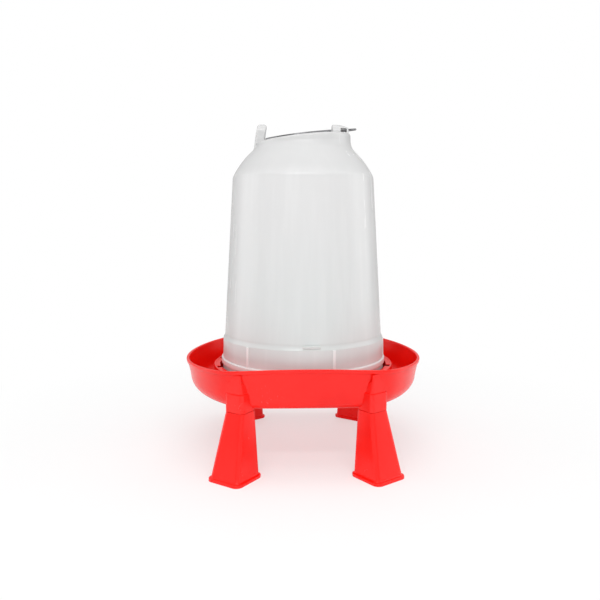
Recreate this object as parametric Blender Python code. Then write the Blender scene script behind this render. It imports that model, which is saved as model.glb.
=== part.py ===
"""Poultry drinker: a siphon tank that stands in a two-lobed pan on four push-fit legs.

Sizes are millimetres, +Z up, +X to the right as seen from the front (-Y). The origin is on the floor,
below the middle of the pan.
"""

from math import acos, asin, cos, degrees, pi, radians, sin, sqrt, tan

import bmesh
import bpy
from mathutils import Matrix, Vector

MM = 0.001
FIT_GAP = 0.3  # between two pieces that rest on or slide past each other
OVERLAP = 1.0  # how far a joined feature reaches into the wall that carries it

# Legs
LEG_HEIGHT = 80.8  # ground to the lower end of the pan's sockets
LEG_INSET = 18.5  # rim at the far left or right to the middle of a socket, along a radius
LEG_TURN = 1.4  # degrees from where a straight front meets a lobe to the middle of a socket
LEG_SPLAY = 12.0  # how much farther out the foot stands
LEG_TOP_SIZE = 27.0
LEG_FOOT_SIZE = 42.5
LEG_WALL = 2.2
LEG_CORNER = 5.0
FOOT_CORNER = 8.5
FOOT_SIZE = 49.0
FOOT_THICKNESS = 4.0
SPIGOT_LENGTH = 20.0

# Pan
PAN_RADIUS = 155.0
SOCKET_DROP = 1.2  # how far the sockets end below the pan's floor
PAN_WALL = 2.5
PAN_DRAFT = 8.7  # degrees
PAN_CORNER = 23.0  # radius between floor and wall in the lobes
PAN_FLAT_CORNER = 10.0  # the same at the straight front and back
PAN_HEIGHT = 51.0  # underside of the floor to the rim at the front
PAN_BLEND = 26.0  # power that rounds the plan where a flat meets a lobe
RIM_SAG = 6.5  # how much lower the rim is at the far left and right
LIP_HEIGHT = 5.0
LIP_OUT = 1.2
PAN_DIVISIONS = 80

# Collar ring and its bayonet hooks
COLLAR_CLEARANCE = 8.5  # tank to collar, room for the bayonet
COLLAR_WALL = 2.8
COLLAR_TO_FLAT = 7.0  # inside of the collar to the rim at the straight front
COLLAR_HEIGHT = 34.0  # above the underside of the floor
HOOK_AZIMUTH = 30.0
HOOK_HALF_ANGLE = 13.0
HOOK_THICKNESS = 2.7
HOOK_REACH = 5.7  # inward from the collar
HOOK_DROP = 0.4  # below the collar's rim, and above the lugs
PASSAGE_WIDTH = 20.0
PASSAGE_HEIGHT = 10.0

# Tank
TANK_BOTTOM_RADIUS = 108.5
TANK_SKIRT_DRAFT = 0.0255  # radius lost for each unit of height
TANK_SKIRT_HEIGHT = 67.0
TANK_STEP_LENGTH = 6.0  # from the skirt in to the wall
TANK_TAPER = 16.5  # how much narrower than the bottom the wall is below the shoulder
TANK_DRAFT = 3.55  # degrees
TANK_WALL_HEIGHT = 274.0
TANK_WALL = 2.0
BEAD_HEIGHT = 33.7
BEAD_LENGTH = 7.5
BEAD_OUT = 2.2
CREASE_RADIUS = 11.0
SHOULDER_START = 28.0  # degrees from upright
SHOULDER_END = 47.0
NECK_FILLET = 18.0
NECK_DRAFT = 8.0
NECK_RADIUS = 61.8
NECK_RISE = 6.2
TOP_SLOPE = 0.103  # rise towards +X for each unit of length
TOP_CROWN = 2.0
OUTLET_DIAMETER = 8.0
OUTLET_HEIGHT = 17.0
RIB_COUNT = 6
RIB_AZIMUTH = -11.6
RIB_HEIGHT = 25.5
RIB_WIDTH = 4.0
RIB_OUT = 1.0
BAR_AZIMUTH = -86.5
BAR_LENGTH = 21.0
BAR_HEIGHT = 3.5
BAR_RISE = 69.0  # bottom of the tank to the bar, which lies on the step
BAR_OUT = 2.6  # from the wall above the step
LUG_AZIMUTH = 60.0
LUG_HALF_ANGLE = 9.0
LUG_OUT = 6.0
LUG_HEIGHT = 4.5
TANK_DIVISIONS = 64

# Ears and bail
EAR_DEPTH = 22.0
EAR_ROOT = 21.0  # how far below the axis an ear starts, inside the shoulder
LEFT_EAR_INNER = 50.0
LEFT_EAR_OUTER = 62.0
LEFT_EAR_LEAN = 2.8
RIGHT_EAR_INNER = 37.5
RIGHT_EAR_OUTER = 58.5
EAR_RISE = 14.2  # top of the ears above the middle of the axis
EAR_FLARE = 3.0  # how far an ear's outer side spreads where it meets the shoulder
WINDOW_WIDTH = 8.0
WINDOW_HEIGHT = 5.6
EAR_WEB = 2.5  # outside the window
AXIS_RISE = 4.2  # the hinge's axis above the middle of the top's edge
AXIS_TILT = 7.0  # degrees, up towards +X
BAIL_REST = 10.5  # degrees above the level, folded to the back
BAIL_RADIUS = 55.0
ARCH_END = 29.0  # degrees of the grip's arch, past the level, where the arms start
WIRE_DIAMETER = 2.6
PIN_CLEARANCE = 0.4
PIN_DEPTH = 4.0  # how far the right pin enters the ear beyond the window
LEFT_PIN_LENGTH = 8.0  # the same for the left pin, from the ear's inner side
HOOK_TIP = 72.0  # where the right arm turns back
ARM_GAP = 7.6  # left arm to the left ear's inner side

TANK_WALL_RADIUS = TANK_BOTTOM_RADIUS - TANK_TAPER
COLLAR_INNER = TANK_BOTTOM_RADIUS + COLLAR_CLEARANCE
PAN_FLAT = COLLAR_INNER + COLLAR_TO_FLAT
LEG_RADIUS = PAN_RADIUS - LEG_INSET
LEG_AZIMUTH = degrees(asin(PAN_FLAT / PAN_RADIUS)) + LEG_TURN
FLOOR_Z = LEG_HEIGHT + SOCKET_DROP
RIM_Z = FLOOR_Z + PAN_HEIGHT
COLLAR_TOP_Z = FLOOR_Z + COLLAR_HEIGHT
SEAT_Z = FLOOR_Z + PAN_WALL
TANK_Z = SEAT_Z + FIT_GAP
SHOULDER_RADIUS = (
    TANK_WALL_RADIUS
    - NECK_RADIUS
    - CREASE_RADIUS * (cos(radians(TANK_DRAFT)) - cos(radians(SHOULDER_START)))
    - NECK_FILLET * (cos(radians(NECK_DRAFT)) - cos(radians(SHOULDER_END)))
) / (cos(radians(SHOULDER_START)) - cos(radians(SHOULDER_END)))
TOP_Z = (
    TANK_Z
    + TANK_WALL_HEIGHT
    + CREASE_RADIUS * (sin(radians(SHOULDER_START)) - sin(radians(TANK_DRAFT)))
    + SHOULDER_RADIUS * (sin(radians(SHOULDER_END)) - sin(radians(SHOULDER_START)))
    + NECK_FILLET * (sin(radians(SHOULDER_END)) - sin(radians(NECK_DRAFT)))
    + NECK_RISE
)
AXIS_Z = TOP_Z + AXIS_RISE
HINGE = Matrix.Translation((0, 0, AXIS_Z)) @ Matrix.Rotation(-radians(AXIS_TILT), 4, "Y")
LEG_AZIMUTHS = {
    "front_left": 180 + LEG_AZIMUTH,
    "front_right": -LEG_AZIMUTH,
    "back_left": 180 - LEG_AZIMUTH,
    "back_right": LEG_AZIMUTH,
}


def clear_scene():
    for old in list(bpy.data.objects):
        bpy.data.objects.remove(old, do_unlink=True)


def material(name, color, roughness, metallic=0.0, transmission=0.0):
    made = bpy.data.materials.new(name)
    made.use_nodes = True
    shader = made.node_tree.nodes["Principled BSDF"]
    shader.inputs["Base Color"].default_value = (*color, 1)
    shader.inputs["Roughness"].default_value = roughness
    shader.inputs["Metallic"].default_value = metallic
    shader.inputs["Transmission Weight"].default_value = transmission
    made.diffuse_color = (*color, 1)
    return made


def loft(name, rings, surface=None, endless=False):
    """One closed body through rings of equally many points, capped at its ends or joined end to end."""
    shape = bmesh.new()
    loops = [[shape.verts.new(Vector(point) * MM) for point in ring] for ring in rings]
    for lower, upper in zip(loops, loops[1:] + loops[:1] if endless else loops[1:]):
        for here in range(len(lower)):
            after = (here + 1) % len(lower)
            shape.faces.new((lower[here], lower[after], upper[after], upper[here]))
    if not endless:
        shape.faces.new(loops[0])
        shape.faces.new(loops[-1])
    bmesh.ops.recalc_face_normals(shape, faces=shape.faces)
    mesh = bpy.data.meshes.new(name)
    shape.to_mesh(mesh)
    shape.free()
    made = bpy.data.objects.new(name, mesh)
    bpy.context.scene.collection.objects.link(made)
    if surface:
        mesh.materials.append(surface)
    return made


def combine(body, tool, operation):
    """Adds a Boolean to the body and hides its tool."""
    tool.hide_render = True
    tool.display_type = "WIRE"
    modifier = body.modifiers.new(tool.name, "BOOLEAN")
    modifier.operation = operation
    modifier.solver = "EXACT"
    modifier.object = tool


def join(body, tool):
    combine(body, tool, "UNION")


def cut(body, tool):
    combine(body, tool, "DIFFERENCE")


def polar(radius, azimuth, height):
    """A point at a radius and an azimuth in degrees."""
    return (radius * cos(radians(azimuth)), radius * sin(radians(azimuth)), height)


def sector(name, inner, outer, low, high, azimuth, half_angle, divisions=8):
    """A solid slice of a ring."""
    rings = []
    for step in range(divisions + 1):
        angle = azimuth + half_angle * (2 * step / divisions - 1)
        corners = ((inner, low), (outer, low), (outer, high), (inner, high))
        rings.append([polar(radius, angle, height) for radius, height in corners])
    return loft(name, rings)


def rounded_square(azimuth, middle, half_radial, half_across, height, radius, steps=3):
    """A square with round corners whose sides face along and across the radius."""
    turn = Matrix.Rotation(radians(azimuth), 3, "Z")
    points = []
    for quarter, (side_a, side_b) in enumerate(((1, 1), (-1, 1), (-1, -1), (1, -1))):
        for step in range(steps + 1):
            angle = pi / 2 * (quarter + step / steps)
            along = side_a * (half_radial - radius) + radius * cos(angle)
            across = side_b * (half_across - radius) + radius * sin(angle)
            points.append(turn @ Vector((middle + along, across, height)))
    return points


def block(name, low, high):
    """A box between two opposite corners."""
    rings = []
    for z in (low[2], high[2]):
        near = [(low[0], low[1], z), (high[0], low[1], z)]
        far = [(high[0], high[1], z), (low[0], high[1], z)]
        rings.append(near + far)
    return loft(name, rings)


def wall_distance(rim, corner, depth, height):
    """How far out a wall of the pan stands at a height, moved inward by a depth."""
    lean = radians(PAN_DRAFT)
    middle_z = FLOOR_Z + corner
    rise = RIM_Z - (middle_z - corner * sin(lean))
    middle = rim - rise * tan(lean) - corner * cos(lean)
    reach = corner - depth
    leave_z = middle_z - reach * sin(lean)
    if height >= leave_z:
        return middle + reach * cos(lean) + (height - leave_z) * tan(lean)
    drop = min(middle_z - height, reach)
    return middle + sqrt(reach**2 - drop**2)


def pan_radius(azimuth, depth, height, out=0.0):
    """Plan of the pan: round lobes with a straight front and back, blended where they meet."""
    lobe = wall_distance(PAN_RADIUS, PAN_CORNER, depth, height) + out
    flat = wall_distance(PAN_FLAT, PAN_FLAT_CORNER, depth, height) + out
    chord = flat / max(abs(sin(radians(azimuth))), 0.01)
    return (lobe**-PAN_BLEND + chord**-PAN_BLEND) ** (-1 / PAN_BLEND)


def pan_ring(depth, height, out=0.0):
    """A level of the pan's wall, its upper part sagging towards the far left and right."""
    sag_start = RIM_Z - PAN_HEIGHT * 0.45
    sag_share = min(max((height - sag_start) / (RIM_Z - LIP_HEIGHT - sag_start), 0), 1)
    ring = []
    for step in range(PAN_DIVISIONS):
        azimuth = 360 * step / PAN_DIVISIONS
        x, y, z = polar(pan_radius(azimuth, depth, height, out), azimuth, height)
        ring.append((x, y, z - sag_share * RIM_SAG * (x / PAN_RADIUS) ** 2))
    return ring


def corner_heights(depth, steps):
    """Heights at equal turns around the lobes' lower corner."""
    reach = PAN_CORNER - depth
    last = 90 - PAN_DRAFT
    return [FLOOR_Z + PAN_CORNER - reach * cos(radians(last * step / steps)) for step in range(steps + 1)]


def make_bowl(surface):
    lip_z = RIM_Z - LIP_HEIGHT
    soft = 0.8  # rounding of the lip
    rings = [pan_ring(0, height) for height in corner_heights(0, 7)]
    rings.append(pan_ring(0, lip_z))
    rings.append(pan_ring(0, lip_z + soft, LIP_OUT))
    rings.append(pan_ring(0, RIM_Z - soft, LIP_OUT))
    rings.append(pan_ring(0, RIM_Z, LIP_OUT - soft))
    rings.append(pan_ring(PAN_WALL, RIM_Z, soft))
    rings.append(pan_ring(PAN_WALL, RIM_Z - soft))
    rings += [pan_ring(PAN_WALL, height) for height in reversed(corner_heights(PAN_WALL, 7))]
    return loft("base_pan", rings, surface)


def make_collar():
    """The ring that the tank stands in. Its foot climbs where it runs into the pan's front and back."""
    outer = COLLAR_INNER + COLLAR_WALL
    sections = []
    for step in range(PAN_DIVISIONS):
        azimuth = 360 * (step + 0.5) / PAN_DIVISIONS
        foot = FLOOR_Z + OVERLAP
        while foot < COLLAR_TOP_Z - OVERLAP and pan_radius(azimuth, PAN_WALL * 0.6, foot) < outer:
            foot += 0.25
        corners = ((COLLAR_INNER, foot), (outer, foot), (outer, COLLAR_TOP_Z), (COLLAR_INNER, COLLAR_TOP_Z))
        sections.append([polar(radius, azimuth, height) for radius, height in corners])
    return loft("collar", sections, endless=True)


def add_hooks(pan):
    """Four plates that the tank's lugs turn under, each with a stop at its far end."""
    high = COLLAR_TOP_Z - HOOK_DROP
    low = high - HOOK_THICKNESS
    tip = COLLAR_INNER - HOOK_REACH
    stop_depth = 6.0
    stop_half_angle = 1.0
    for azimuth in (HOOK_AZIMUTH, 180 - HOOK_AZIMUTH, 180 + HOOK_AZIMUTH, 360 - HOOK_AZIMUTH):
        join(
            pan,
            sector(f"hook_{azimuth:.0f}", tip, COLLAR_INNER + OVERLAP, low, high, azimuth, HOOK_HALF_ANGLE),
        )
        stop = azimuth - HOOK_HALF_ANGLE + 2 * stop_half_angle
        low_end = low - stop_depth
        join(
            pan,
            sector(f"stop_{azimuth:.0f}", tip + OVERLAP, COLLAR_INNER + OVERLAP, low_end, low + OVERLAP,
                   stop, stop_half_angle, 2),
        )


def cut_passages(pan):
    """Openings at the foot of the collar, through which water reaches both lobes."""
    sill = 0.5
    near = COLLAR_INNER - COLLAR_WALL
    far = COLLAR_INNER + 2 * COLLAR_WALL
    for name, side in (("passage_right", 1), ("passage_left", -1)):
        low = (min(side * near, side * far), -PASSAGE_WIDTH / 2, SEAT_Z + sill)
        high = (max(side * near, side * far), PASSAGE_WIDTH / 2, SEAT_Z + sill + PASSAGE_HEIGHT)
        cut(pan, block(name, low, high))


def wall_middle(height):
    """Radius of the middle of the pan's wall at a leg's azimuth."""
    return pan_radius(LEG_AZIMUTH, PAN_WALL / 2, height)


def make_column(name, azimuth):
    """The outside of a leg socket, which narrows upward and fades into the wall below the rim."""
    half = LEG_TOP_SIZE / 2
    rings = []
    for height in (LEG_HEIGHT, LEG_HEIGHT + SPIGOT_LENGTH + 3):
        rings.append(rounded_square(azimuth, LEG_RADIUS, half, half, height, LEG_CORNER))
    for drop, out in ((14, 1.5), (7, -0.3)):
        height = RIM_Z - drop
        inside = wall_middle(height)
        slim = PAN_WALL / 4 + out / 2
        rings.append(rounded_square(azimuth, inside + slim, slim, half - 3, height, slim * 0.8))
    return loft(name, rings)


def make_socket(name, azimuth):
    half = LEG_TOP_SIZE / 2 - LEG_WALL
    rings = []
    for height in (LEG_HEIGHT - 1, LEG_HEIGHT + SPIGOT_LENGTH + 1):
        rings.append(rounded_square(azimuth, LEG_RADIUS, half, half, height, LEG_CORNER - LEG_WALL))
    return loft(name, rings)


def make_pan(surface):
    pan = make_bowl(surface)
    join(pan, make_collar())
    add_hooks(pan)
    for place, azimuth in LEG_AZIMUTHS.items():
        join(pan, make_column(f"column_{place}", azimuth))
    for place, azimuth in LEG_AZIMUTHS.items():
        cut(pan, make_socket(f"socket_{place}", azimuth))
    cut_passages(pan)
    return pan


def make_leg(place, azimuth, surface):
    """A hollow leg, open below, that leans out and ends in a spigot that pushes into the pan's socket."""
    top_z = LEG_HEIGHT - FIT_GAP
    top = LEG_TOP_SIZE / 2
    foot = LEG_FOOT_SIZE / 2
    flange = FOOT_SIZE / 2
    spigot = top - LEG_WALL - FIT_GAP
    spigot_z = LEG_HEIGHT + SPIGOT_LENGTH - 0.5
    foot_radius = LEG_RADIUS + LEG_SPLAY

    def level(half, height, corner):
        middle = foot_radius + (LEG_RADIUS - foot_radius) * min(height / top_z, 1)
        return rounded_square(azimuth, middle, half, half, height, corner)

    inside_corner = LEG_CORNER - LEG_WALL
    spigot_corner = inside_corner - FIT_GAP
    soft = 0.8
    rings = [
        level(spigot - LEG_WALL, spigot_z - LEG_WALL, soft),
        level(spigot - LEG_WALL, top_z, soft),
        level(top - LEG_WALL, top_z - LEG_WALL, inside_corner),
        level(foot - LEG_WALL, 0, inside_corner),
        level(flange, 0, FOOT_CORNER),
        level(flange, FOOT_THICKNESS - soft, FOOT_CORNER),
        level(flange - soft, FOOT_THICKNESS, FOOT_CORNER),
        level(foot + soft, FOOT_THICKNESS + soft, LEG_CORNER + soft),
        level(foot, FOOT_THICKNESS + 3 * soft, LEG_CORNER),
        level(top, top_z, LEG_CORNER),
        level(spigot, top_z, spigot_corner),
        level(spigot, spigot_z - 1.5, spigot_corner),
        level(spigot - 1, spigot_z, spigot_corner),
    ]
    return loft(f"leg_{place}", rings, surface)


def skirt_radius(height):
    return TANK_BOTTOM_RADIUS - TANK_SKIRT_DRAFT * height


def wall_radius(height):
    return TANK_WALL_RADIUS + (TANK_WALL_HEIGHT - height) * tan(radians(TANK_DRAFT))


def arc_points(start, radius, first, last, steps):
    """Points of an upward arc whose tangent turns from one angle from upright to another."""
    points = []
    for step in range(1, steps + 1):
        angle = radians(first + (last - first) * step / steps)
        inward = radius * abs(cos(radians(first)) - cos(angle))
        upward = radius * abs(sin(angle) - sin(radians(first)))
        points.append((start[0] - inward, start[1] + upward, degrees(angle)))
    return points


def upper_profile():
    """(radius, height, angle from upright) from the skirt's step over the shoulder to the top."""
    step_top = TANK_SKIRT_HEIGHT + TANK_STEP_LENGTH
    points = [
        (wall_radius(step_top), step_top, TANK_DRAFT),
        (wall_radius(TANK_WALL_HEIGHT), TANK_WALL_HEIGHT, TANK_DRAFT),
    ]
    points += arc_points(points[-1], CREASE_RADIUS, TANK_DRAFT, SHOULDER_START, 3)
    points += arc_points(points[-1], SHOULDER_RADIUS, SHOULDER_START, SHOULDER_END, 4)
    points += arc_points(points[-1], NECK_FILLET, SHOULDER_END, NECK_DRAFT, 4)
    top = TOP_Z - TANK_Z
    points += [(NECK_RADIUS - 0.4, top - 1.5, 15), (NECK_RADIUS - 1.8, top - 0.2, 65)]
    for share in (0.75, 0.4):
        radius = NECK_RADIUS * share
        points.append((radius, top + TOP_CROWN * (1 - share**2), 90))
    return points


def tank_ring(radius, height, lift_height):
    """A level of the tank. Near the top it slants up towards +X."""
    top = TOP_Z - TANK_Z
    slant_start = top - 19.5
    lift = max((lift_height - slant_start) / (top - slant_start), 0) ** 2
    ring = []
    for step in range(TANK_DIVISIONS):
        x, y, z = polar(radius, 360 * step / TANK_DIVISIONS, TANK_Z + height)
        ring.append((x, y, z + min(lift, 1) * TOP_SLOPE * x))
    return ring


def make_tank_outside(surface):
    edge = 1.0
    soft = 1.2  # slope at the bead's edges
    bead_top = BEAD_HEIGHT + BEAD_LENGTH
    lower = [
        (skirt_radius(0) - edge, 0),
        (skirt_radius(edge), edge),
        (skirt_radius(BEAD_HEIGHT), BEAD_HEIGHT),
        (skirt_radius(BEAD_HEIGHT) + BEAD_OUT, BEAD_HEIGHT + soft),
        (skirt_radius(bead_top) + BEAD_OUT, bead_top - soft),
        (skirt_radius(bead_top), bead_top),
        (skirt_radius(TANK_SKIRT_HEIGHT), TANK_SKIRT_HEIGHT),
        (skirt_radius(TANK_SKIRT_HEIGHT) - 0.4, TANK_SKIRT_HEIGHT + TANK_STEP_LENGTH * 0.3),
    ]
    rings = [tank_ring(radius, height, height) for radius, height in lower]
    rings += [tank_ring(radius, height, height) for radius, height, angle in upper_profile()]
    return loft("tank", rings, surface)


def make_cavity():
    """The inside of the tank, open below."""
    below = 2.0
    rings = [
        tank_ring(skirt_radius(0) - TANK_WALL, -below, 0),
        tank_ring(skirt_radius(TANK_SKIRT_HEIGHT) - TANK_WALL, TANK_SKIRT_HEIGHT - TANK_WALL, 0),
    ]
    for radius, height, angle in upper_profile():
        inner = radius - TANK_WALL * cos(radians(angle))
        rings.append(tank_ring(inner, height - TANK_WALL * sin(radians(angle)), height))
    return loft("cavity", rings)


def rod(name, start, end, radius, divisions=16):
    """A round bar along the hinge's axis."""
    rings = []
    for along in (start, end):
        angles = [2 * pi * step / divisions for step in range(divisions)]
        rings.append([HINGE @ Vector((along, radius * cos(a), radius * sin(a))) for a in angles])
    return loft(name, rings)


def ear_section(x, rise, half_depth, flare, lean):
    """An arch across the ear, its foot spread outward by the flare and its top leaning over."""
    foot_z = AXIS_Z - EAR_ROOT
    flare_start = AXIS_Z - 3
    spring_z = AXIS_Z + rise - half_depth * 0.85
    side = [(half_depth, foot_z), (half_depth, flare_start - 9), (half_depth, flare_start)]
    steps = 10
    for step in range(steps + 1):
        angle = pi * step / steps
        side.append((half_depth * cos(angle), spring_z + (AXIS_Z + rise - spring_z) * sin(angle)))
    side += [(-half_depth, flare_start), (-half_depth, flare_start - 9), (-half_depth, foot_z)]
    reach = flare_start - foot_z
    section = []
    for y, z in side:
        spread = flare * (max(flare_start - z, 0) / reach) ** 1.5
        shift = lean * max(z - flare_start, 0) / EAR_RISE
        section.append((x + spread + shift, y, z))
    return section


def make_ear(name, stations):
    return loft(name, [ear_section(*station) for station in stations])


def add_ears(tank):
    half = EAR_DEPTH / 2
    soft = 1.2
    left_in = -LEFT_EAR_INNER
    left_out = -LEFT_EAR_OUTER
    left = [
        (left_out, EAR_RISE - 2.2, half - soft, -EAR_FLARE, LEFT_EAR_LEAN),
        (left_out + soft, EAR_RISE - 0.4, half, -EAR_FLARE * 0.8, LEFT_EAR_LEAN),
        (left_in - 3.5, EAR_RISE, half, 0, LEFT_EAR_LEAN),
        (left_in - soft, EAR_RISE - 1.2, half, 0, LEFT_EAR_LEAN),
        (left_in, EAR_RISE - 3, half - soft, 0, LEFT_EAR_LEAN),
    ]
    right = [
        (RIGHT_EAR_INNER, EAR_RISE - 1.2, half - soft, 0, 0),
        (RIGHT_EAR_INNER + soft, EAR_RISE, half, 0, 0),
        (RIGHT_EAR_OUTER - 10, EAR_RISE - 0.3, half, 0, 0),
        (RIGHT_EAR_OUTER - soft, EAR_RISE - 3.2, half, EAR_FLARE * 0.8, 0),
        (RIGHT_EAR_OUTER, EAR_RISE - 4.2, half - soft, EAR_FLARE, 0),
    ]
    join(tank, make_ear("left_ear", left))
    join(tank, make_ear("right_ear", right))


def add_skirt_features(tank):
    """Upright ribs above the bead, a short bar at the front and the lugs that lock under the hooks."""
    bead_top = BEAD_HEIGHT + BEAD_LENGTH
    for index in range(RIB_COUNT):
        azimuth = RIB_AZIMUTH + 360 * index / RIB_COUNT
        rings = []
        top = bead_top + RIB_HEIGHT
        for height, out in ((bead_top - 2, RIB_OUT), (top - 1, RIB_OUT), (top, 0.2)):
            inner = skirt_radius(height) - OVERLAP
            half = (out + OVERLAP) / 2
            width = RIB_WIDTH / 2 - (RIB_OUT - out) * 0.6
            rings.append(rounded_square(azimuth, inner + half, half, width, TANK_Z + height, half * 0.6, 2))
        join(tank, loft(f"rib_{index + 1}", rings))
    bar_radius = wall_radius(BAR_RISE + BAR_HEIGHT)
    bar_low = TANK_Z + BAR_RISE
    bar_angle = degrees(BAR_LENGTH / 2 / bar_radius)
    join(
        tank,
        sector("bar", bar_radius - OVERLAP, bar_radius + BAR_OUT, bar_low, bar_low + BAR_HEIGHT,
               BAR_AZIMUTH, bar_angle),
    )
    lug_high = COLLAR_TOP_Z - HOOK_THICKNESS - 2 * HOOK_DROP
    lug_inner = TANK_BOTTOM_RADIUS - TANK_WALL
    lug_outer = TANK_BOTTOM_RADIUS + LUG_OUT
    for azimuth in (LUG_AZIMUTH, 180 - LUG_AZIMUTH, 180 + LUG_AZIMUTH, 360 - LUG_AZIMUTH):
        join(
            tank,
            sector(f"lug_{azimuth:.0f}", lug_inner, lug_outer, lug_high - LUG_HEIGHT, lug_high,
                   azimuth, LUG_HALF_ANGLE),
        )


def cut_outlets(tank):
    """Two holes through which air enters and water leaves, facing the collar's passages."""
    for name, side in (("outlet_right", 1), ("outlet_left", -1)):
        rings = []
        divisions = 16
        height = TANK_Z + OUTLET_HEIGHT
        radius = OUTLET_DIAMETER / 2
        for along in (TANK_BOTTOM_RADIUS - 6, TANK_BOTTOM_RADIUS + 6):
            angles = [2 * pi * (step + 0.5) / divisions for step in range(divisions)]
            rings.append([(side * along, radius * cos(a), height + radius * sin(a)) for a in angles])
        cut(tank, loft(name, rings))


def cut_pin_holes(tank):
    """Bearings of the bail: a blind hole on the left, a web, window and blind hole on the right."""
    radius = WIRE_DIAMETER / 2 + PIN_CLEARANCE
    window_out = RIGHT_EAR_OUTER - EAR_WEB
    window_in = window_out - WINDOW_WIDTH
    middle_z = AXIS_Z + tan(radians(AXIS_TILT)) * (window_in + window_out) / 2
    low = (window_in, -EAR_DEPTH, middle_z - WINDOW_HEIGHT / 2)
    high = (window_out, EAR_DEPTH, middle_z + WINDOW_HEIGHT / 2)
    cut(tank, block("window", low, high))
    cut(tank, rod("right_pin_hole", window_in - PIN_DEPTH - 1, RIGHT_EAR_OUTER + 6, radius))
    hole_start = -LEFT_EAR_INNER + 3
    cut(tank, rod("left_pin_hole", -LEFT_EAR_INNER - LEFT_PIN_LENGTH - 1, hole_start, radius))


def make_tank(surface):
    tank = make_tank_outside(surface)
    add_ears(tank)
    add_skirt_features(tank)
    cut(tank, make_cavity())
    cut_outlets(tank)
    cut_pin_holes(tank)
    return tank


def rounded_path(corners, steps=5):
    """A path through (x, y, radius) corners, each replaced by an arc."""
    path = [Vector(corners[0][:2])]
    for before, corner, after in zip(corners, corners[1:], corners[2:]):
        point = Vector(corner[:2])
        back = (Vector(before[:2]) - point).normalized()
        ahead = (Vector(after[:2]) - point).normalized()
        half = acos(max(min(back.dot(ahead), 1), -1)) / 2
        middle = point + (back + ahead).normalized() * (corner[2] / sin(half))
        first = point + back * (corner[2] / tan(half)) - middle
        last = point + ahead * (corner[2] / tan(half)) - middle
        turn = first.angle_signed(last)
        for step in range(steps + 1):
            path.append(middle + Matrix.Rotation(-turn * step / steps, 2) @ first)
    path.append(Vector(corners[-1][:2]))
    return path


def make_bail(surface):
    """One bent wire. X runs along the hinge's axis, Y from the axis out to the grip."""
    window_in = RIGHT_EAR_OUTER - EAR_WEB - WINDOW_WIDTH
    arm = -LEFT_EAR_INNER + ARM_GAP
    join_x = BAIL_RADIUS * cos(radians(ARCH_END))
    join_y = BAIL_RADIUS * sin(radians(ARCH_END))
    start = [
        (window_in - PIN_DEPTH + 0.5, 0, 0),
        (HOOK_TIP, 0, 2.2),
        (join_x + 6, join_y - 7, 12),
        (join_x, join_y, 0),
    ]
    finish = [
        (-join_x, join_y, 0),
        (arm, 24, 6),
        (arm, 0, 2.6),
        (-LEFT_EAR_INNER - LEFT_PIN_LENGTH + 0.5, 0, 0),
    ]
    path = rounded_path(start)
    arch_steps = 26
    for step in range(1, arch_steps):
        angle = radians(ARCH_END + (180 - 2 * ARCH_END) * step / arch_steps)
        path.append(Vector((BAIL_RADIUS * cos(angle), BAIL_RADIUS * sin(angle))))
    path += rounded_path(finish)
    curve = bpy.data.curves.new("bail_handle", "CURVE")
    curve.dimensions = "3D"
    curve.bevel_depth = WIRE_DIAMETER / 2 * MM
    curve.bevel_resolution = 2
    curve.use_fill_caps = True
    spline = curve.splines.new("POLY")
    spline.points.add(len(path) - 1)
    for point, place in zip(spline.points, path):
        point.co = (place.x * MM, place.y * MM, 0, 1)
    curve.materials.append(surface)
    bail = bpy.data.objects.new("bail_handle", curve)
    bpy.context.scene.collection.objects.link(bail)
    bail.location = (0, 0, AXIS_Z * MM)
    bail.rotation_euler = (radians(BAIL_REST), -radians(AXIS_TILT), 0)
    return bail


def main():
    clear_scene()
    red = material("red_plastic", (0.80, 0.028, 0.018), 0.3)
    milky = material("milky_plastic", (0.80, 0.80, 0.79), 0.38, transmission=0.15)
    steel = material("steel_wire", (0.28, 0.28, 0.29), 0.35, metallic=1.0)
    make_pan(red)
    make_tank(milky)
    make_bail(steel)
    for place, azimuth in LEG_AZIMUTHS.items():
        make_leg(place, azimuth, red)


main()
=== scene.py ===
"""Looks of a poultry drinker: a milky siphon tank in a red two-lobed pan on four splayed legs.

Run as a Blender script. The sizes are millimetres in the settings and metres in the meshes, +Z is up,
and the front faces -Y.
"""

from math import acos, asin, cos, degrees, pi, radians, sin, sqrt, tan

import bmesh
import bpy
from bpy.props import FloatProperty, FloatVectorProperty, IntProperty, PointerProperty
from mathutils import Matrix, Vector


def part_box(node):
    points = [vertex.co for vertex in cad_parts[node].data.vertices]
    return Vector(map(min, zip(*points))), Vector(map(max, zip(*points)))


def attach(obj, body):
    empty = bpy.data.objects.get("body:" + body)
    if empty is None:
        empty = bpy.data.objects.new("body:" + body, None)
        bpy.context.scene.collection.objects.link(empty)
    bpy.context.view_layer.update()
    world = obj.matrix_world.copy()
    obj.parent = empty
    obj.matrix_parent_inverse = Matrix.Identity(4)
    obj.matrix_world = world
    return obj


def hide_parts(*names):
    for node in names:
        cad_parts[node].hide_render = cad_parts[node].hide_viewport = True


bl_info = {
    "name": "Poultry drinker",
    "version": (1, 0, 0),
    "blender": (4, 5, 0),
    "location": "3D View > Sidebar > Drinker",
    "description": "Builds the pieces, finishes and studio of a poultry drinker",
    "category": "Object",
}

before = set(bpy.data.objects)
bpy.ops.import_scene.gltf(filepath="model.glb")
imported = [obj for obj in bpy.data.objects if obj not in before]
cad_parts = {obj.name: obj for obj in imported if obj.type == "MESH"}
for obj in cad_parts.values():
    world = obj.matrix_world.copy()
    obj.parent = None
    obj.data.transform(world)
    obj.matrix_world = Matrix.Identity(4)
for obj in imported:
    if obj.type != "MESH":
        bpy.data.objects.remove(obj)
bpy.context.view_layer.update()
MM = 0.001
OVERLAP = 0.6  # how far a joined feature reaches into the wall that carries it

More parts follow.
